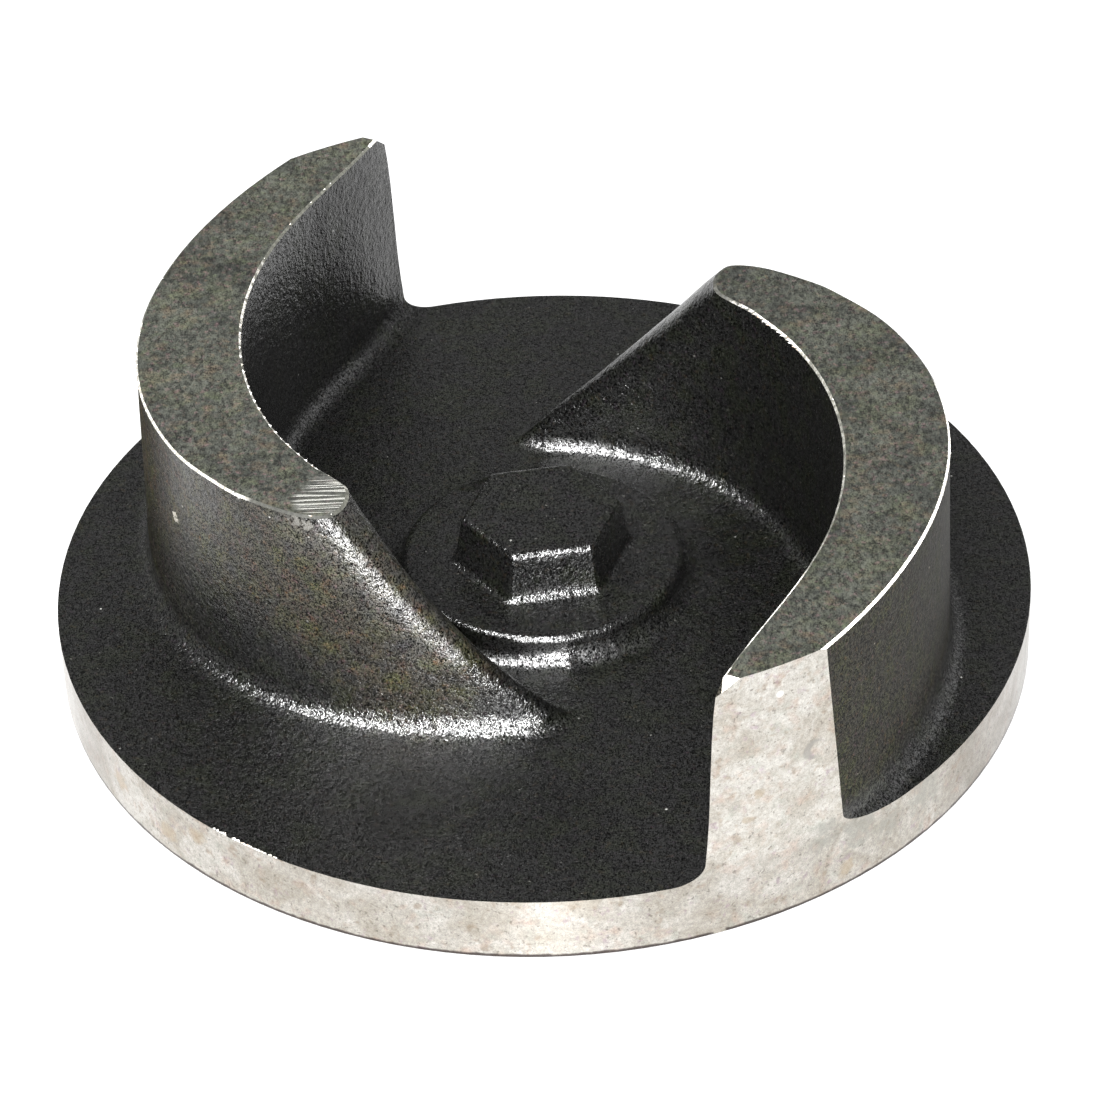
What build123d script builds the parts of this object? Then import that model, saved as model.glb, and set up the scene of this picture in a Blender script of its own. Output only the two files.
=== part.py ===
from build123d import *
import os
from math import cos, sin, radians, sqrt

# Semi-open two-vane pump impeller, one iron casting.
# Frame: Z is the shaft axis, the back face of the disc is Z = 0, and the
# vanes stand up along +Z.  Millimetres throughout.

# ---------------------------------------------------------------- dimensions
rim_radius = 80.0          # turned rim, vane ends turned flush with it
disc_thickness = 12.0      # back face to the cast front of the disc
vane_top = 50.3            # machined plane of both vane tops
rim_chamfer = 0.8          # back corner of the rim
root_fillet = 3.5          # vane foot to disc
top_edge_break = 0.35      # deburred edge all round each vane's top
tip_facet = [(109.5, 78.2, 50.3), (110.8, 80.0, 50.3), (108.8, 80.0, 48.5)]
                           # ground corner of each trailing tip: angle, r, z

pad_radius = 23.1          # round pad in the middle of the disc
pad_height = 5.0
pad_edge_radius = 1.2
pad_foot_radius = 3.0

hex_top_radius = 13.2      # across-corner radius of the wrench hex, at its top
hex_foot_radius = 14.7     # the same at its foot: the hex is drafted
hex_top = 25.6
hex_angle = 8.25           # direction of one corner, degrees from +X
hex_edge_radius = 1.0
hex_side_radius = 0.9
hex_foot_fillet = 1.3

bore_radius = 7.94         # 5/8 inch shaft thread, major radius
bore_depth = 19.0
bore_drill_point = 2.2
bore_chamfer = 1.2

# Vane 1, in polar stations about the shaft axis:
# angle, inner wall radius at the top plane, outer wall radius at the top
# plane, draft of the inner wall down to the disc, draft of the outer wall,
# and the height of the sloping leading edge at that angle.
vane_stations = [
    (104, 86.15, 88.96, 2.26, 1.20, 150.0),
    (112, 75.32, 84.46, 2.03, 1.18, 142.0),
    (120, 68.61, 80.60, 1.83, 1.16, 134.0),
    (128, 63.95, 77.32, 1.65, 1.12, 127.0),
    (136, 60.11, 74.54, 1.44, 1.06, 120.0),
    (146, 55.83, 71.60, 1.19, 1.02, 112.0),
    (156, 52.09, 69.03, 1.03, 0.99, 104.0),
    (166, 48.86, 66.55, 0.91, 0.97, 96.0),
    (176, 46.09, 63.94, 0.82, 0.94, 88.5),
    (186, 43.73, 61.05, 0.77, 0.92, 81.0),
    (196, 41.72, 57.84, 0.73, 0.90, 73.4),
    (206, 40.00, 54.32, 0.70, 0.87, 65.61),
    (216, 38.56, 50.67, 0.68, 0.85, 57.92),
    (226, 37.36, 47.13, 0.65, 0.81, 49.07),
    (236, 36.42, 44.06, 0.62, 0.78, 39.63),
    (246, 35.76, 41.70, 0.59, 0.73, 31.43),
    (256, 35.40, 40.05, 0.56, 0.67, 24.06),
    (266, 35.39, 38.91, 0.53, 0.61, 17.73),
    (276, 35.80, 37.82, 0.51, 0.54, 11.55),
    (286, 36.71, 36.60, 0.48, 0.47, 3.79),
]
crown_shift = [(200, 0.50), (223, 0.50), (245, 0.28), (290, 0.28)]
crown_drop = 1.55          # fall of the leading edge's crown, per half width
section_heights = [9.5 + 3.5 * k for k in range(13)]
nose_stations = (-1.0, -0.97, -0.88, -0.72, -0.5, -0.25, 0.0,
                 0.25, 0.5, 0.7, 0.86, 0.96, 1.0)


# ------------------------------------------------------------ vane sections
def station(angle, column):
    """Smooth value of one column of the station table at an angle."""
    rows = vane_stations
    angle = min(max(angle, rows[0][0]), rows[-1][0])
    k = 0
    while k < len(rows) - 2 and rows[k + 1][0] < angle:
        k += 1
    x0, x1 = rows[k][0], rows[k + 1][0]
    y0, y1 = rows[k][column], rows[k + 1][column]
    xa, ya = (rows[k - 1][0], rows[k - 1][column]) if k > 0 else (x0, y0)
    xb, yb = (rows[k + 2][0], rows[k + 2][column]) if k + 2 < len(rows) else (x1, y1)
    h = x1 - x0
    m0 = (y1 - ya) / (x1 - xa) * h
    m1 = (yb - y0) / (xb - x0) * h
    u = (angle - x0) / h
    return ((2 * u**3 - 3 * u**2 + 1) * y0 + (u**3 - 2 * u**2 + u) * m0
            + (3 * u**2 - 2 * u**3) * y1 + (u**3 - u**2) * m1)


def shift(angle):
    rows = crown_shift
    for (a0, v0), (a1, v1) in zip(rows, rows[1:]):
        if angle <= a1:
            return v0 + (v1 - v0) * max(0.0, (angle - a0) / (a1 - a0))
    return rows[-1][1]


def walls(angle, z):
    """Inner and outer wall radius at a height, with their draft."""
    low = (vane_top - z) / (vane_top - disc_thickness)
    inner = station(angle, 1) - station(angle, 3) * low
    outer = station(angle, 2) + station(angle, 4) * low
    return inner, max(outer, inner + 0.2)


def nose_angle(across, z):
    """Angle at which the sloping, crowned leading edge is at height z.
    across runs from -1 on the inner wall to +1 on the outer wall."""
    lo, hi = 205.0, 286.0
    for _ in range(40):
        mid = (lo + hi) / 2
        inner, outer = walls(mid, z)
        w0 = shift(mid)
        u = (across - w0) / ((1 + w0) if across < w0 else (1 - w0))
        crown = crown_drop * (outer - inner) / 2 * (1 - sqrt(max(0.0, 1 - u * u)))
        if station(mid, 5) - crown > z:
            lo = mid
        else:
            hi = mid
    return lo


def polar(angle, radius):
    return (radius * cos(radians(angle)), radius * sin(radians(angle)))


def wall_point(angle, z, side):
    return polar(angle, walls(angle, z)[side])


def vane_section(z):
    """Inner wall, rounded nose and outer wall at height z as one run of
    points: from beyond the rim, round the nose, to beyond the rim again.
    Every section has the same stations, so that they make one surface."""
    first, last = nose_angle(-1.0, z), nose_angle(1.0, z)
    n = 14
    points = [wall_point(103.0 + (first - 103.0) * i / n, z, 0) for i in range(n)]
    for w in nose_stations:
        a = nose_angle(w, z)
        r0, r1 = walls(a, z)
        points.append(polar(a, (r0 + r1) / 2 + w * (r1 - r0) / 2))
    points += [wall_point(last + (104.5 - last) * i / n, z, 1) for i in range(1, n + 1)]
    return [Vector(x, y, z) for x, y in points]


# ------------------------------------------------------------------- a vane
# One smooth skin round the vane, closed with a face at the foot, one above
# the top plane and one beyond the rim.  It starts inside the disc.
skin = Face.make_surface_from_array_of_points(
    [vane_section(z) for z in section_heights], tol=0.01, min_deg=3, max_deg=5)
level_edges = skin.edges().filter_by(lambda e: abs((e @ 0).Z - (e @ 1).Z) < 1)
upright_edges = skin.edges().filter_by(lambda e: abs((e @ 0).Z - (e @ 1).Z) > 1)
low_edge, high_edge = level_edges.sort_by(Axis.Z)
low_close = Edge.make_line(low_edge @ 1, low_edge @ 0)
high_close = Edge.make_line(high_edge @ 1, high_edge @ 0)
vane_solid = Solid(Shell([
    skin,
    Face(Wire([low_edge, low_close])),
    Face(Wire([high_edge, high_close])),
    Face.make_surface(Wire([low_close, upright_edges[0], high_close, upright_edges[1]])),
]))

# Disc with the first vane: top faced, rim turned, foot filleted.
with BuildPart() as disc_and_vane:
    with BuildSketch(Plane.XY):
        Circle(rim_radius + 3)
    extrude(amount=disc_thickness)
    add(vane_solid)
    with BuildSketch(Plane.XY):
        Circle(rim_radius)
    extrude(amount=vane_top, mode=Mode.INTERSECT)
    foot = (disc_and_vane.edges()
            .filter_by(GeomType.BSPLINE)
            .filter_by_position(Axis.Z, disc_thickness - 0.05, disc_thickness + 0.05))
    fillet(foot, radius=root_fillet)
    # ground corner of the trailing tip
    corner_points = [Vector(*polar(a, r), z) for a, r, z in tip_facet]
    facet_normal = ((corner_points[2] - corner_points[0])
                    .cross(corner_points[1] - corner_points[0]))
    split(bisect_by=Plane(origin=corner_points[0], z_dir=facet_normal),
          keep=Keep.BOTTOM)
    # deburred edge of the machined top
    top_loop = (disc_and_vane.edges()
                .filter_by(GeomType.BSPLINE)
                .filter_by_position(Axis.Z, vane_top - 0.05, vane_top + 0.05))
    chamfer(top_loop, length=top_edge_break)

# ---------------------------------------------------------------- the casting
with BuildPart() as impeller:
    with PolarLocations(0, 2):
        add(disc_and_vane.part)

    # round pad, revolved with its rounded edge and its concave foot
    with BuildSketch(Plane.XZ):
        with BuildLine():
            z0 = disc_thickness
            z1 = disc_thickness + pad_height
            Polyline((0, z0 - 1), (0, z1), (pad_radius - pad_edge_radius, z1))
            RadiusArc((pad_radius - pad_edge_radius, z1),
                      (pad_radius, z1 - pad_edge_radius), pad_edge_radius)
            Line((pad_radius, z1 - pad_edge_radius), (pad_radius, z0 + pad_foot_radius))
            RadiusArc((pad_radius, z0 + pad_foot_radius),
                      (pad_radius + pad_foot_radius, z0), -pad_foot_radius)
            Polyline((pad_radius + pad_foot_radius, z0),
                     (pad_radius + pad_foot_radius, z0 - 1), (0, z0 - 1))
        make_face()
    revolve(axis=Axis.Z)

    # drafted wrench hexagon on the pad
    with BuildSketch(Plane.XY.offset(disc_thickness + pad_height - 0.5)):
        RegularPolygon(hex_foot_radius + 0.5 * (hex_foot_radius - hex_top_radius)
                       / (hex_top - disc_thickness - pad_height), 6, rotation=hex_angle)
    with BuildSketch(Plane.XY.offset(hex_top)):
        RegularPolygon(hex_top_radius, 6, rotation=hex_angle)
    loft()
    hex_edges = impeller.edges().filter_by(
        lambda e: (e @ 0.5).Z > disc_thickness + pad_height - 0.01
        and (e @ 0.5).X**2 + (e @ 0.5).Y**2 < (hex_foot_radius + 1)**2)
    slant_edges = hex_edges.filter_by(lambda e: abs((e @ 0).Z - (e @ 1).Z) > 1)
    fillet(slant_edges, radius=hex_side_radius)
    hex_edges = impeller.edges().filter_by(
        lambda e: (e @ 0.5).Z > disc_thickness + pad_height - 0.01
        and (e @ 0.5).X**2 + (e @ 0.5).Y**2 < (hex_foot_radius + 1)**2)
    fillet(hex_edges.filter_by_position(Axis.Z, hex_top - 0.01, hex_top + 0.01),
           radius=hex_edge_radius)
    hex_edges = impeller.edges().filter_by(
        lambda e: abs((e @ 0.5).Z - disc_thickness - pad_height) < 0.01
        and (e @ 0.5).X**2 + (e @ 0.5).Y**2 < (hex_foot_radius + 1)**2)
    fillet(hex_edges, radius=hex_foot_fillet)

    # blind shaft bore from the back, with a drill point and a mouth chamfer
    with BuildSketch(Plane.XZ):
        Polygon((0, -1), (bore_radius + bore_chamfer + 1, -1),
                (bore_radius, bore_chamfer), (bore_radius, bore_depth),
                (0, bore_depth + bore_drill_point), align=None)
    revolve(axis=Axis.Z, mode=Mode.SUBTRACT)

    # back corner of the rim
    back_rim = (impeller.edges().filter_by(GeomType.CIRCLE)
                .filter_by_position(Axis.Z, -0.01, 0.01)
                .filter_by(lambda e: e.radius > rim_radius - 1))
    chamfer(back_rim, length=rim_chamfer)

impeller.part.label = "impeller"
os.makedirs("parts", exist_ok=True)
export_step(impeller.part, "parts/impeller.step")
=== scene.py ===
import bpy, math
import numpy as np
from mathutils import Matrix, Vector


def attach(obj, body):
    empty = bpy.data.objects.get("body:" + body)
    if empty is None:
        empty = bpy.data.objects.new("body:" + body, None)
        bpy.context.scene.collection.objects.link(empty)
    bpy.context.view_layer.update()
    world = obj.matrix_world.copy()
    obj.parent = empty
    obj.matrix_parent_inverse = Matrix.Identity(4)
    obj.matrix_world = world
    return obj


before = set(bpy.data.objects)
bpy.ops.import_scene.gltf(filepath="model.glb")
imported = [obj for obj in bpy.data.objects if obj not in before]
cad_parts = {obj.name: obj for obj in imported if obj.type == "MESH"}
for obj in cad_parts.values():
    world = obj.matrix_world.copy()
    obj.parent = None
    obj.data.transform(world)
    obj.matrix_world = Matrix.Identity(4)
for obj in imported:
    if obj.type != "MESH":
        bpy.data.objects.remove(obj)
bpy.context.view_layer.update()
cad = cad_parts["impeller"]
scene = bpy.context.scene
MM = 0.001

# ------------------------------------------------------------------ camera
EL, ROLL = 0.6645, -0.0373
se, ce = math.sin(EL), math.cos(EL)
rows = np.array([[1, 0, 0], [0, -se, -ce], [0, ce, -se]])
cr, sr = math.cos(ROLL), math.sin(ROLL)
rows = np.array([[cr, -sr, 0], [sr, cr, 0], [0, 0, 1]]) @ rows
cam_data = bpy.data.cameras.new("camera")
cam_data.sensor_width = 36.0
cam_data.lens = 36.0 * 4612.4054 / 1100.0
cam_data.clip_start, cam_data.clip_end = 0.05, 20.0
cam = bpy.data.objects.new("camera", cam_data)
m = np.eye(4)
m[:3, 0], m[:3, 1], m[:3, 2] = rows[0], -rows[1], -rows[2]
m[:3, 3] = np.array([0.01543617, -7.45260501, 6.04999116]) * 0.08
cam.matrix_world = Matrix(m.tolist())
scene.collection.objects.link(cam)
scene.camera = cam
scene.view_settings.view_transform = "Standard"

# ------------------------------------------------------------------- light
world = bpy.data.worlds.new("world")
scene.world = world
world.use_nodes = True
bg = world.node_tree.nodes["Background"]
bg.inputs["Color"].default_value = (1, 1, 1, 1)
bg.inputs["Strength"].default_value = 0.30


def area(name, azimuth, elevation, distance, size, radiance, aim=(0, 0, 0.02)):
    """A soft box seen from the part at this azimuth and elevation."""
    a, e = math.radians(azimuth), math.radians(elevation)
    d = Vector((math.cos(a) * math.cos(e), math.sin(a) * math.cos(e), math.sin(e)))
    data = bpy.data.lights.new(name, "AREA")
    data.shape = "RECTANGLE"
    data.size, data.size_y = size
    data.energy = radiance * math.pi * size[0] * size[1]
    ob = bpy.data.objects.new(name, data)
    ob.location = d * distance + Vector(aim)
    # local X stays level, so the box stands upright
    x = Vector((-math.sin(a), math.cos(a), 0))
    z = d
    y = z.cross(x)
    ob.matrix_world = Matrix.Translation(ob.location) @ Matrix((x, y, z)).transposed().to_4x4()
    scene.collection.objects.link(ob)
    return ob


area("overhead", -124, 62, 1.5, (0.80, 0.58), 66)
area("front_strip", -91.5, 20, 1.5, (0.18, 1.15), 138)
area("front_soft", -85, 20, 1.55, (0.42, 1.0), 17)
area("right_fill", 28, 26, 1.5, (0.9, 0.7), 1.3)

me = bpy.data.meshes.new("floor")
S = 3.0
me.from_pydata([(-S, -S, 0), (S, -S, 0), (S, S, 0), (-S, S, 0)], [], [(0, 1, 2, 3)])
floor = bpy.data.objects.new("floor", me)
scene.collection.objects.link(floor)
floor.location.z = -0.0002
fm = bpy.data.materials.new("floor_white")
fm.use_nodes = True
b = fm.node_tree.nodes["Principled BSDF"]
b.inputs["Base Color"].default_value = (0.12, 0.12, 0.12, 1)
b.inputs["Roughness"].default_value = 0.9
b.inputs["Specular IOR Level"].default_value = 0.0
b.inputs["Emission Color"].default_value = (1, 1, 1, 1)
b.inputs["Emission Strength"].default_value = 0.95
me.materials.append(fm)


# ------------------------------------------------------------ node helpers
class Graph:
    def __init__(self, name):
        self.mat = bpy.data.materials.new(name)
        self.mat.use_nodes = True
        self.t = self.mat.node_tree
        self.bsdf = self.t.nodes["Principled BSDF"]
        tc = self.t.nodes.new("ShaderNodeTexCoord")
        self.pos = tc.outputs["Object"]

    def link(self, a, b):
        self.t.links.new(a, b)

    def put(self, node, key, value):
        sock = node.inputs[key]
        if isinstance(value, bpy.types.NodeSocket):
            self.link(value, sock)
        else:
            sock.default_value = value

    def scaled(self, sx, sy, sz, vec=None, offset=(0, 0, 0)):
        n = self.t.nodes.new("ShaderNodeMapping")
        self.link(vec or self.pos, n.inputs["Vector"])
        n.inputs["Scale"].default_value = (sx, sy, sz)
        n.inputs["Location"].default_value = offset
        return n.outputs["Vector"]

    def noise(self, scale, detail=2.0, rough=0.5, vec=None, distort=0.0, color=False):
        n = self.t.nodes.new("ShaderNodeTexNoise")
        self.link(vec or self.pos, n.inputs["Vector"])
        n.inputs["Scale"].default_value = scale
        n.inputs["Detail"].default_value = detail
        n.inputs["Roughness"].default_value = rough
        n.inputs["Distortion"].default_value = distort
        return n.outputs["Color" if color else "Fac"]

    def voronoi(self, scale, vec=None, feature="F1", out="Distance", rand=1.0):
        n = self.t.nodes.new("ShaderNodeTexVoronoi")
        n.feature = feature
        self.link(vec or self.pos, n.inputs["Vector"])
        n.inputs["Scale"].default_value = scale
        n.inputs["Randomness"].default_value = rand
        return n.outputs[out]

    def ramp(self, value, lo, hi, a=0.0, b=1.0, smooth=False):
        n = self.t.nodes.new("ShaderNodeMapRange")
        n.interpolation_type = "SMOOTHSTEP" if smooth else "LINEAR"
        n.clamp = True
        self.put(n, "Value", value)
        for k, v in (("From Min", lo), ("From Max", hi), ("To Min", a), ("To Max", b)):
            self.put(n, k, v)
        return n.outputs["Result"]

    def math(self, op, a, b=0.0, c=0.0, clamp=False):
        n = self.t.nodes.new("ShaderNodeMath")
        n.operation = op
        n.use_clamp = clamp
        self.put(n, 0, a)
        if len(n.inputs) > 1:
            self.put(n, 1, b)
        if len(n.inputs) > 2:
            self.put(n, 2, c)
        return n.outputs[0]

    def add(self, a, b): return self.math("ADD", a, b)
    def mul(self, a, b): return self.math("MULTIPLY", a, b)

    def mix(self, fac, a, b, blend="MIX"):
        n = self.t.nodes.new("ShaderNodeMix")
        n.data_type = "RGBA"
        n.blend_type = blend
        self.put(n, 0, fac)
        for i, v in ((6, a), (7, b)):
            if isinstance(v, bpy.types.NodeSocket):
                self.link(v, n.inputs[i])
            else:
                n.inputs[i].default_value = (*v, 1.0)
        return n.outputs[2]

    def xyz(self):
        n = self.t.nodes.new("ShaderNodeSeparateXYZ")
        self.link(self.pos, n.inputs[0])
        return n.outputs

    def near(self, p, r0, r1, squash=(1, 1, 1)):
        """1 within r0 of the point p (mm), 0 beyond r1."""
        n = self.t.nodes.new("ShaderNodeMapping")
        self.link(self.pos, n.inputs["Vector"])
        n.inputs["Scale"].default_value = tuple(1000.0 * q for q in squash)
        n.inputs["Location"].default_value = tuple(-a * q for a, q in zip(p, squash))
        d = self.t.nodes.new("ShaderNodeVectorMath")
        d.operation = "LENGTH"
        self.link(n.outputs[0], d.inputs[0])
        return self.ramp(d.outputs["Value"], r0, r1, 1.0, 0.0, smooth=True)

    def zones(self, points, r0, r1):
        """1 near any of these points (mm)."""
        m = None
        for p in points:
            q = self.near(p[:3], *(p[3:] or (r0, r1)))
            m = q if m is None else self.math("MAXIMUM", m, q)
        return m

    def else_where(self, i, scale, lo, hi, a=0.0, b=1.0, detail=2.0):
        """One more independent noise, thresholded."""
        return self.ramp(self.noise(scale, detail, 0.6, vec=self.scaled(1, 1, 1, offset=(3.1 * i, 1.7 * i, 2.3 * i))), lo, hi, a, b)

    def normal_dot_position(self):
        geo = self.t.nodes.new("ShaderNodeNewGeometry")
        d = self.t.nodes.new("ShaderNodeVectorMath")
        d.operation = "DOT_PRODUCT"
        self.link(geo.outputs["Normal"], d.inputs[0])
        self.link(self.pos, d.inputs[1])
        return d.outputs["Value"]

    def bump(self, height_m, strength=1.0):
        n = self.t.nodes.new("ShaderNodeBump")
        n.inputs["Distance"].default_value = 1.0
        n.inputs["Strength"].default_value = strength
        self.link(height_m, n.inputs["Height"])
        self.link(n.outputs[0], self.bsdf.inputs["Normal"])

    def set(self, **kw):
        for k, v in kw.items():
            self.put(self.bsdf, k.replace("_", " "), v)


# --------------------------------------------------------------- materials
# as-cast sand skin: dark, with sand-sized grain and stray bright grains
g = Graph("cast_iron_sand_skin")
run = g.scaled(1.0, 0.68, 0.85)
speck = g.noise(4300, 1.0, 0.6, vec=run)
grain = g.noise(2300, 2.0, 0.65, vec=run)
sand = g.noise(1250, 2.0, 0.6)
lumps = g.noise(560, 2.0, 0.55)
wave = g.noise(120, 2.0, 0.5)
h = g.add(g.mul(speck, 0.060 * MM), g.mul(grain, 0.075 * MM))
h = g.add(h, g.mul(sand, 0.17 * MM))
h = g.add(h, g.mul(lumps, 0.20 * MM))
h = g.add(h, g.mul(wave, 0.22 * MM))
crest = g.zones([(-36, -31.5, 49), (-32, -33, 47), (-28, -35, 42), (-23, -36.5, 36), (-18, -38, 30)], 3, 9)
calm = g.zones([(-2, 34.5, 12.3), (3.6, 33.1, 12.6), (9, 31.3, 12.3), (15, 28, 12.3), (20, 24, 12.3), (-8, -22.5, 13), (-1, -23.7, 13), (8, -22.2, 13), (14, -19, 13)], 2.5, 5)
g.bump(g.mul(h, g.math("SUBTRACT", 1.0, g.add(g.mul(crest, 0.30), g.mul(calm, 0.48)))))
tone = g.add(g.mul(speck, 0.55), g.mul(grain, 0.45))
x, y, z = g.xyz()
# the outer wall of one vane keeps a brownish patina bloom near its top, painted lighter there as a painted reflection
# of the bright surroundings
patina_and_painted_sheen = g.mul(g.zones([(-67, 2, 43), (-60, -8, 42), (-50, -24, 42), (-40, -32, 40), (-30, -36, 34), (-22, -38, 26)], 6, 19), g.else_where(4, 300, 0.25, 0.60))
c = g.mix(g.ramp(tone, 0.41, 0.62), (0.0002, 0.0002, 0.0002), (0.0045, 0.0045, 0.0043))
rad = g.math("SQRT", g.add(g.mul(x, x), g.mul(y, y)))
outward = g.math("DIVIDE", g.normal_dot_position(), rad)
matt = g.mul(g.ramp(rad, 0.0560, 0.0640, smooth=True), g.ramp(z, 0.0125, 0.0185, smooth=True))
matt = g.mul(matt, g.ramp(outward, 0.05, 0.40, smooth=True))
c = g.mix(g.mul(matt, 0.8), c, g.mix(g.ramp(tone, 0.42, 0.60), (0.0, 0.0, 0.0), (0.0125, 0.0119, 0.0092)))
# painted reflection: lighter brownish colour high on that wall, with its patina
c = g.mix(g.mul(patina_and_painted_sheen, 0.8), c, g.mix(g.ramp(tone, 0.41, 0.60), (0.0003, 0.0003, 0.0002), (0.0270, 0.0232, 0.0158)))
olive = g.else_where(1, 210, 0.46, 0.64, 0.0, 0.8)
c = g.mix(olive, c, g.mix(1.0, c, (1.15, 1.35, 0.80), blend="MULTIPLY"))
rust = g.else_where(3, 900, 0.62, 0.72, 0.0, 0.6, 1.0)
c = g.mix(rust, c, g.mix(1.0, c, (1.8, 1.25, 0.8), blend="MULTIPLY"))
mauve = g.else_where(6, 1000, 0.62, 0.72, 0.0, 0.5, 1.0)
c = g.mix(mauve, c, g.mix(1.0, c, (1.8, 1.0, 1.8), blend="MULTIPLY"))
c = g.mix(g.mul(patina_and_painted_sheen, g.else_where(14, 430, 0.55, 0.68, 0.0, 0.7)), c, g.mix(1.0, c, (1.55, 0.80, 0.72), blend="MULTIPLY"))
c = g.mix(g.mul(patina_and_painted_sheen, g.else_where(15, 380, 0.55, 0.68, 0.0, 0.7)), c, g.mix(1.0, c, (0.92, 1.12, 0.55), blend="MULTIPLY"))
c = g.mix(g.mul(patina_and_painted_sheen, g.else_where(16, 330, 0.50, 0.66, 0.0, 0.6)), c, g.mix(1.0, c, (0.40, 0.42, 0.44), blend="MULTIPLY"))
star = g.ramp(g.voronoi(620), 0.10, 0.16, 1.0, 0.0)
pick = g.ramp(g.voronoi(620, out="Color"), 0.90, 0.93)
c = g.mix(g.mul(star, g.mul(pick, 0.8)), c, (0.16, 0.16, 0.15))
ragged = g.add(g.noise(1500, 2.0, 0.6), -0.5)
nick = g.ramp(g.add(g.near((-58.3, -12.0, 35.9), 0.3, 1.7), g.mul(ragged, 2.6)), 0.62, 0.80)
c = g.mix(nick, c, (0.15, 0.145, 0.13))
# a light grey ground spot under one vane nose, partly a painted highlight
nose = g.ramp(g.add(g.zones([(-38.0, -31.4, 49.3), (-36.2, -32.5, 48.8)], 0.3, 2.0), g.mul(ragged, 2.8)), 0.60, 0.90)
c = g.mix(nose, c, (0.045, 0.043, 0.038))
fleck = g.mix(g.ramp(g.add(g.add(g.mul(speck, 0.55), g.mul(grain, 0.25)), g.mul(sand, 0.20)), 0.42, 0.57), (0.03, 0.03, 0.03), (1.0, 1.0, 1.0))
dull = g.mul(g.near((1.5, -12.3, 21.2), 6, 9), g.mul(g.ramp(z, 0.0183, 0.0193), g.ramp(z, 0.0238, 0.0246, 1.0, 0.0)))
fleck = g.mix(g.mul(dull, 0.75), fleck, (0.0, 0.0, 0.0))
rough = g.add(g.add(g.ramp(g.noise(1500, 2.0), 0.3, 0.7, 0.195, 0.30), g.mul(matt, 0.45)), g.add(g.mul(crest, 0.14), g.mul(calm, 0.08)))
fleck = g.mix(g.mul(matt, 0.93), fleck, (0.0, 0.0, 0.0))
fleck = g.mix(g.mul(g.mul(patina_and_painted_sheen, 0.5), g.math("SUBTRACT", 1.0, crest)), fleck, (0.0, 0.0, 0.0))
far = g.mul(g.zones([(-28, 69, 30), (-31, 63, 40), (-27, 70, 20), (-33, 60, 33)], 8, 17), g.ramp(outward, -0.3, 0.0, 1.0, 0.0))
fleck = g.mix(g.mul(far, 0.65), fleck, (0.0, 0.0, 0.0))
inner = g.mul(g.zones([(27, 8, 12), (18, 17, 12)], 5, 14), g.ramp(z, 0.0125, 0.0135, 0.40, 0.0))
fleck = g.mix(inner, fleck, (0.0, 0.0, 0.0))
brow = g.zones([(-12, 19.1, 16.8), (-8, 21.1, 16.8), (-4, 22.2, 16.8), (0, 22.5, 16.8), (4, 22.2, 16.8)], 2.2, 4.2)
fleck = g.mix(g.mul(brow, 0.9), fleck, (0.0, 0.0, 0.0))
rough = g.add(rough, g.mul(brow, 0.45))
fleck = g.mix(g.mul(g.zones([(-22, -57, 12), (-10, -57, 12), (0, -60, 12)], 4, 13), g.ramp(z, 0.0125, 0.0135, 0.30, 0.0)), fleck, (0.0, 0.0, 0.0))
c = g.mix(matt, c, g.mix(1.0, c, (1.7, 1.62, 1.5), blend="MULTIPLY"))
g.set(Base_Color=c, Specular_Tint=fleck, Roughness=rough, Metallic=g.mul(matt, g.ramp(x, -0.030, 0.0, 0.75, 0.0, smooth=True)))
g.set(**{"Specular IOR Level": 1.0})
cast = g.mat

# milled vane tops with a thin patina
g = Graph("milled_vane_top")
run = g.scaled(1.0, 0.62, 1.0)
fine = g.noise(4200, 1.0, 0.7, vec=run)
mid = g.noise(1500, 2.0, 0.6, vec=run)
blot = g.noise(95, 4.0, 0.62, distort=0.6)
tone = g.add(g.mul(fine, 0.5), g.mul(mid, 0.5))
c = g.mix(g.ramp(blot, 0.36, 0.62), (0.0115, 0.0126, 0.0102), (0.0272, 0.0289, 0.0228))
c = g.mix(g.else_where(5, 260, 0.55, 0.72, 0.0, 0.5), c, (0.023, 0.023, 0.021))
c = g.mix(g.else_where(1, 330, 0.54, 0.74, 0.0, 0.55), c, (0.045, 0.031, 0.018))
c = g.mix(g.else_where(11, 950, 0.60, 0.74, 0.0, 0.40, 2.0), c, (0.058, 0.036, 0.021))
c = g.mix(g.else_where(12, 230, 0.50, 0.66, 0.0, 0.45), c, (0.030, 0.033, 0.018))
c = g.mix(g.else_where(2, 480, 0.58, 0.72, 0.0, 0.40), c, (0.031, 0.039, 0.019))
c = g.mix(g.else_where(7, 900, 0.60, 0.72, 0.0, 0.40, 1.0), c, (0.055, 0.030, 0.033))
c = g.mix(g.ramp(tone, 0.38, 0.62), g.mix(1.0, c, (0.20, 0.20, 0.20), blend="MULTIPLY"), g.mix(1.0, c, (1.6, 1.6, 1.6), blend="MULTIPLY"))
tx = g.xyz()[0]
c = g.mix(g.ramp(tx, 0.0, 0.03, 0.0, 0.7), c, g.mix(1.0, c, (0.84, 0.84, 0.84), blend="MULTIPLY"))
star = g.mul(g.ramp(g.voronoi(330), 0.06, 0.10, 1.0, 0.0), g.ramp(g.voronoi(330, out="Color"), 0.93, 0.95))
c = g.mix(g.mul(star, 0.8), c, (0.34, 0.34, 0.32))
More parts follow.
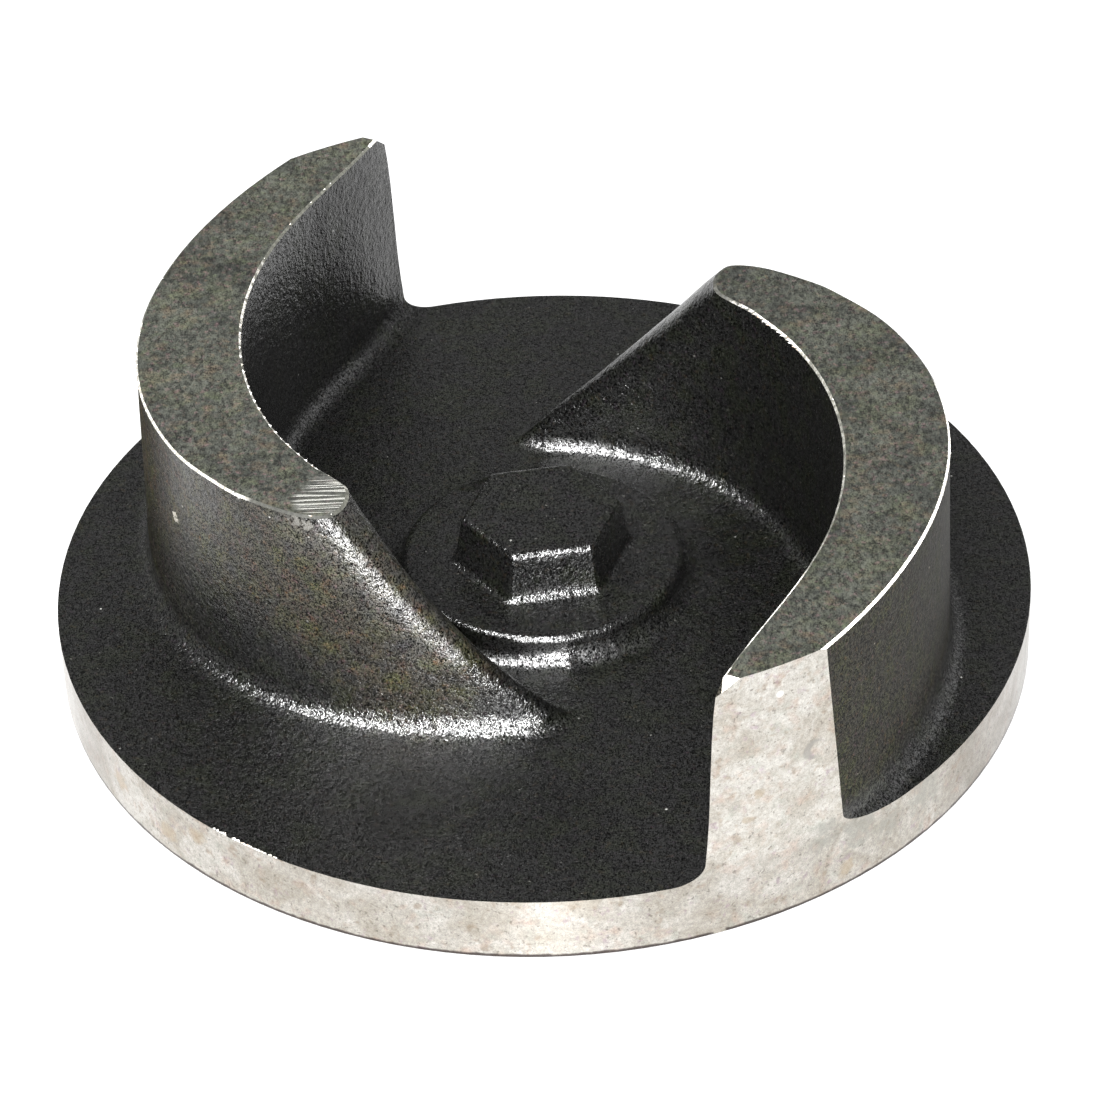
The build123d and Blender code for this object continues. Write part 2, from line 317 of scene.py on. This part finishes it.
# file marks across one vane nose
patch = g.zones([(-32.6, -25.2, 50.3), (-34.6, -27.6, 50.3), (-31.8, -27.8, 50.3)], 2.6, 4.6)
marks = g.ramp(g.noise(1.0, 2.0, 0.5, vec=g.scaled(60, 1900, 1)), 0.49, 0.60)
c = g.mix(g.mul(patch, 0.55), c, (0.028, 0.028, 0.026))
c = g.mix(g.mul(g.mul(patch, marks), 0.7), c, (0.22, 0.22, 0.20))
g.set(Base_Color=c, Metallic=0.2, Roughness=g.ramp(mid, 0.3, 0.7, 0.42, 0.62))
g.bump(g.add(g.add(g.mul(fine, 0.020 * MM), g.mul(mid, 0.04 * MM)), g.mul(g.mul(patch, marks), 0.10 * MM)))
top = g.mat

# turned rim and vane ends
g = Graph("turned_rim")
grooves = g.noise(1.0, 2.0, 0.6, vec=g.scaled(25, 25, 3600))
fine = g.noise(3800, 1.0, 0.7)
mid = g.noise(1300, 2.0, 0.6)
blot = g.noise(130, 4.0, 0.65, distort=0.8)
x, y, z = g.xyz()
c = g.mix(g.ramp(blot, 0.36, 0.62), (0.435, 0.405, 0.352), (0.595, 0.577, 0.538))
c = g.mix(g.else_where(1, 300, 0.54, 0.72, 0.0, 0.45), c, (0.50, 0.36, 0.29))
c = g.mix(g.else_where(2, 340, 0.56, 0.74, 0.0, 0.45), c, (0.40, 0.42, 0.37))
c = g.mix(g.else_where(8, 420, 0.60, 0.72, 0.0, 0.5), c, (0.30, 0.22, 0.15))
c = g.mix(g.else_where(9, 520, 0.62, 0.74, 0.0, 0.4), c, (0.36, 0.24, 0.33))
c = g.mix(g.else_where(4, 1300, 0.62, 0.70, 0.0, 0.55), c, (0.12, 0.10, 0.08))
tone = g.add(g.mul(fine, 0.5), g.mul(mid, 0.5))
c = g.mix(g.ramp(tone, 0.36, 0.64), g.mix(1.0, c, (0.74, 0.73, 0.72), blend="MULTIPLY"), g.mix(1.0, c, (1.08, 1.08, 1.08), blend="MULTIPLY"))
# painted shade: the disc's rim is painted darker than the vane ends above it
painted_shade_low = g.ramp(z, 0.0122, 0.0160, 1.0, 0.0)
c = g.mix(g.mul(painted_shade_low, 0.85), c, g.mix(1.0, c, (0.82, 0.815, 0.81), blend="MULTIPLY"))
# painted shade: the rim darker on its far right and far left sides
c = g.mix(g.zones([(74, -30, 8, 14, 30), (79, -5, 8, 14, 30), (-76, -22, 8, 10, 26)], 1, 6), c, g.mix(1.0, c, (0.66, 0.64, 0.62), blend="MULTIPLY"))
# a dark band along the lower edge: as-cast skin and a painted contact shadow, with one clean chip
skin_and_painted_shadow = g.add(g.mul(z, 1000.0), g.mul(g.add(g.noise(500, 3.0, 0.6), -0.5), 0.8))
skin_and_painted_shadow = g.ramp(skin_and_painted_shadow, 1.15, 1.45, 1.0, 0.0)
skin_and_painted_shadow = g.mul(skin_and_painted_shadow, g.math("SUBTRACT", 1.0, g.near((25.1, -76.0, 0.9), 0.9, 1.2)))
# stains beside one vane end
ragged = g.add(g.noise(420, 3.0, 0.65), -0.5)
grey = g.ramp(g.add(g.zones([(42.2, -68, 12.8, 1.0, 6.0), (47, -64.7, 11.0, 1.0, 7.0), (58.2, -54.8, 9.0, 1.0, 8.0), (52, -60.8, 8, 1, 6)], 1, 6), g.mul(ragged, 2.2)), 0.55, 0.95)
c = g.mix(g.mul(grey, 0.55), c, (0.26, 0.26, 0.23))
brown = g.ramp(g.add(g.zones([(45, -66.1, 3.8, 0.5, 3.5), (31.4, -73.6, 26.7, 0.2, 2.2), (29.5, -74.4, 22.0, 0.2, 2.0), (-68, -42, 7, 0.5, 4.0), (-55, -58, 8, 0.5, 4.0), (-60, -53, 5, 0.5, 4.0)], 1, 6), g.mul(ragged, 2.0)), 0.55, 0.95)
c = g.mix(g.mul(brown, 0.5), c, (0.33, 0.25, 0.15))
scratch = g.mul(g.near((39.8, -69.4, 31.4), 1.6, 2.1), g.math("SUBTRACT", 1.0, g.near((40.5, -68.9, 31.2), 1.2, 1.7)))
c = g.mix(g.mul(scratch, 0.7), c, (0.28, 0.27, 0.25))
c = g.mix(g.near((34.5, -72.2, 44.8), 0.3, 0.8), c, (0.95, 0.95, 0.93))
# painted contact shadow and dark skin along the lower edge
c = g.mix(g.mul(skin_and_painted_shadow, 0.9), c, (0.035, 0.025, 0.024))
tan = g.t.nodes.new("ShaderNodeTangent")
tan.direction_type = "RADIAL"
tan.axis = "Z"
g.link(tan.outputs[0], g.bsdf.inputs["Tangent"])
g.set(Base_Color=c, Metallic=1.0, Anisotropic=0.86, Anisotropic_Rotation=0.25, Roughness=g.ramp(blot, 0.3, 0.7, 0.220, 0.19))
g.bump(g.add(g.mul(grooves, 0.010 * MM), g.mul(fine, 0.008 * MM)))
rim = g.mat

# deburred edges and ground facets: bare iron where the tool cut, patina where it did not; the bare iron is also a
# painted highlight, brighter in the zones where these edges catch the light
g = Graph("bare_edge_painted_highlight")
n = g.noise(950, 2.0, 0.6)
full = g.zones([(-66, 12, 50, 8, 12), (-62, -3, 50, 8, 12), (-56, -14, 50, 7, 10), (-49, -22.5, 50, 4, 6.5),
                (64.5, -18, 50, 13, 17), (61, -34, 50, 10, 14), (54, -48, 50, 10, 13), (44, -64, 50, 13, 16)], 8, 12)
dash = g.zones([(-46, 30, 50), (-44, 18, 50), (-40, 5, 50), (-38, -6, 50), (-33, -16, 50), (-30.5, -20.5, 50, 4, 6)], 7, 9)
rag = g.zones([(36, 15, 50, 7, 9), (43, 8, 50, 5, 7)], 7, 9)
thin = g.zones([(47, -3, 50, 8, 11), (47, -20, 50, 9, 12), (43, -38, 50, 10, 13), (35, -55, 50, 10, 13), (28, -68, 50, 8, 11), (34, -72.3, 50, 5, 8)], 8, 11)
# bright mask: bare iron and a painted highlight, set zone by zone along the edges
m = g.mul(full, g.ramp(n, 0.26, 0.40))
x, y, z = g.xyz()
m = g.mul(m, g.ramp(x, -0.050, -0.030, 0.27, 1.0))
m = g.math("MAXIMUM", m, g.mul(dash, g.ramp(g.noise(560, 1.0, 0.5), 0.46, 0.50, 0.03, 0.33)))
m = g.math("MAXIMUM", m, g.mul(rag, g.ramp(n, 0.44, 0.60, 0.02, 0.24)))
m = g.math("MAXIMUM", m, g.mul(thin, g.ramp(n, 0.42, 0.60, 0.02, 0.17)))
m = g.math("MAXIMUM", m, g.mul(g.near((31.5, 22.5, 50), 4, 8), g.ramp(n, 0.40, 0.60, 0.0, 0.05)))
tipf = g.zones([(26.6, -74.8, 49.6), (-26.6, 74.8, 49.6)], 2.6, 3.2)
m = g.math("MAXIMUM", m, tipf)
c = g.mix(g.ramp(g.noise(1500, 2.0, 0.6), 0.35, 0.65), (0.03, 0.03, 0.025), (0.066, 0.066, 0.055))
c = g.mix(g.zones([(-44, -24.5, 50), (-38, -31, 50), (38, 21, 50), (31, 24, 50)], 5, 9), c, g.mix(1.0, c, (0.38, 0.38, 0.38), blend="MULTIPLY"))
c = g.mix(m, c, g.mix(g.ramp(g.noise(2600, 1.0), 0.35, 0.6), (0.34, 0.31, 0.26), (0.75, 0.74, 0.71)))
g.set(Base_Color=c, Metallic=0.0, Roughness=0.68)
g.set(**{"Specular IOR Level": 0.25})
g.bump(g.mul(g.noise(1800, 2.0), 0.05 * MM))
edge = g.mat

# faced back
g = Graph("faced_back")
fine = g.noise(2400, 2.0, 0.7)
blot = g.noise(60, 4.0, 0.6)
c = g.mix(g.ramp(blot, 0.36, 0.64), (0.36, 0.34, 0.31), (0.50, 0.48, 0.45))
g.set(Base_Color=c, Metallic=0.85, Roughness=0.38)
g.bump(g.mul(fine, 0.006 * MM))
back = g.mat

# dull skin on the broken lower edge
g = Graph("lower_edge_skin")
n = g.noise(1600, 2.0, 0.6)
c = g.mix(g.ramp(n, 0.35, 0.65), (0.006, 0.005, 0.005), (0.035, 0.026, 0.024))
g.set(Base_Color=c, Roughness=g.ramp(n, 0.3, 0.7, 0.85, 0.95))
g.set(**{"Specular IOR Level": 0.1})
g.bump(g.mul(n, 0.05 * MM))
skirt = g.mat

cad.data.materials.clear()
for q in (cast, rim, top, edge, back, skirt):
    cad.data.materials.append(q)
co = np.zeros(len(cad.data.vertices) * 3)
cad.data.vertices.foreach_get("co", co)
co = co.reshape(-1, 3) * 1000
r = np.hypot(co[:, 0], co[:, 1])
for p in cad.data.polygons:
    v = list(p.vertices)
    z = co[v, 2]
    if (r[v] > 79.9).all() and abs(p.normal.z) < 0.2:
        p.material_index = 1
    elif (z > 50.2).all() and p.normal.z > 0.98:
        p.material_index = 2
    elif (z > 49.8).all() and p.normal.z > 0.5:
        p.material_index = 3
    elif (z > 48.0).all() and 0.6 < p.normal.z < 0.8 and (r[v] > 77).all():
        p.material_index = 3
    elif (z < 0.01).all():
        p.material_index = 4
    elif (z < 0.81).all() and (r[v] > 79).all():
        p.material_index = 5

# ------------------------------------------------------------------- burrs
# loose flakes of iron left standing along the cut edges
rng = np.random.default_rng(7)
bv, bf = [], []


def flake(base, t, n, length, width, lean, thick):
    """A flat three-cornered splinter on an edge: t along it, n outward."""
    t, n = np.array([*t, 0.0]), np.array([*n, 0.0])
    base = np.array(base)
    k = len(bv)
    for dz in (0.0, -thick):
        bv.append(base + [0, 0, dz])
        bv.append(base + t * length + [0, 0, dz])
        bv.append(base + t * (length * lean) + n * width + [0, 0, dz * 0.4 - 0.03])
    bf.extend([(k, k + 1, k + 2), (k + 5, k + 4, k + 3), (k, k + 3, k + 4, k + 1), (k + 1, k + 4, k + 5, k + 2), (k + 2, k + 5, k + 3, k)])


# the loops where the milled tops meet their broken edge
count = {}
for p in cad.data.polygons:
    if p.material_index == 2:
        for e in p.edge_keys:
            count[e] = count.get(e, 0) + 1
rim_edges = [e for e, n_ in count.items() if n_ == 1]
key = lambda i: tuple(np.round(co[i, :2], 4))
nxt = {}
for a_, b_ in rim_edges:
    nxt.setdefault(key(a_), []).append(key(b_))
    nxt.setdefault(key(b_), []).append(key(a_))
loops, seen = [], set()
for start in sorted(nxt):
    if start in seen:
        continue
    loop, here, prev = [start], start, None
    seen.add(start)
    while True:
        step = [q for q in nxt[here] if q != prev and q not in seen]
        if not step:
            break
        prev, here = here, step[0]
        seen.add(here)
        loop.append(here)
    if len(loop) > 20:
        loops.append(np.array(loop))
for loop in loops:
    area2 = np.sum(loop[:, 0] * np.roll(loop[:, 1], -1) - np.roll(loop[:, 0], -1) * loop[:, 1])
    if area2 < 0:
        loop = loop[::-1]
    d = np.roll(loop, -1, axis=0) - loop
    L = np.hypot(*d.T)
    s_at = np.concatenate([[0], np.cumsum(L)])
    pos = rng.uniform(0, 1)
    while pos < s_at[-1] - 3:
        i = int(np.searchsorted(s_at, pos, side="right") - 1)
        t = d[i] / max(L[i], 1e-9)
        n = np.array([t[1], -t[0]])
        at = loop[i] + t * (pos - s_at[i])

        def close(px, py, rad):
            return math.hypot(at[0] - px, at[1] - py) < rad
        if close(37.5, 13.5, 8.0):              # ragged stretch
            flake((*(at - n * 0.05), 50.28), t, n, rng.uniform(1.2, 1.9), rng.uniform(0.60, 0.95), rng.uniform(0.0, 0.15), 0.10)
            pos += rng.uniform(0.95, 1.5)
        elif close(-34, -14.5, 7.0):            # towards the other nose
            flake((*(at - n * 0.05), 50.28), t, n, rng.uniform(0.6, 1.4), rng.uniform(0.30, 0.50), rng.uniform(0.3, 1.0), 0.10)
            pos += rng.uniform(1.2, 2.4)
        elif close(-43, 10, 24):                # dashes
            flake((*(at - n * 0.05), 50.27), t, n, rng.uniform(1.1, 1.6), rng.uniform(0.38, 0.50), rng.uniform(0.3, 0.7), 0.08)
            pos += rng.uniform(1.9, 2.5)
        else:
            if rng.uniform() < 0.35 and math.hypot(*at) < 76:
                flake((*(at - n * 0.05), 50.27), t, n, rng.uniform(0.3, 0.9), rng.uniform(0.15, 0.35), rng.uniform(0.3, 0.9), 0.07)
            pos += rng.uniform(1.5, 5.0)

# a turned lip along part of the disc's top edge, with one notch
for lo, hi, w in ((-131.0, -128.9, 0.34), (-128.2, -126.8, 0.30), (-126.5, -122.2, 0.20)):
    a_ = lo
    while a_ < hi:
        ar = math.radians(a_)
        at = np.array([math.cos(ar), math.sin(ar)]) * 79.93
        t, n = np.array([-math.sin(ar), math.cos(ar)]), -np.array([math.cos(ar), math.sin(ar)])
        flake((*at, 12.0 + 0.16), t, n, rng.uniform(0.5, 1.1), w * rng.uniform(0.7, 1.5), rng.uniform(0.2, 0.9), 0.18)
        a_ += rng.uniform(0.35, 0.7)

bm_ = bpy.data.meshes.new("edge_burrs")
bm_.from_pydata([tuple(np.array(q) * MM) for q in bv], [], bf)
burrs = bpy.data.objects.new("edge_burrs", bm_)
scene.collection.objects.link(burrs)
g = Graph("burr_iron")
n = g.noise(1200, 2.0, 0.6)
c = g.mix(g.ramp(n, 0.35, 0.60), (0.34, 0.31, 0.26), (0.75, 0.74, 0.71))
c = g.mix(g.else_where(2, 700, 0.60, 0.70, 0.0, 0.7), c, (0.40, 0.20, 0.09))
g.set(Base_Color=c, Metallic=0.3, Roughness=g.ramp(n, 0.3, 0.7, 0.38, 0.52))
g.bump(g.mul(g.noise(3000, 2.0), 0.02 * MM))
bm_.materials.append(g.mat)
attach(burrs, "root")
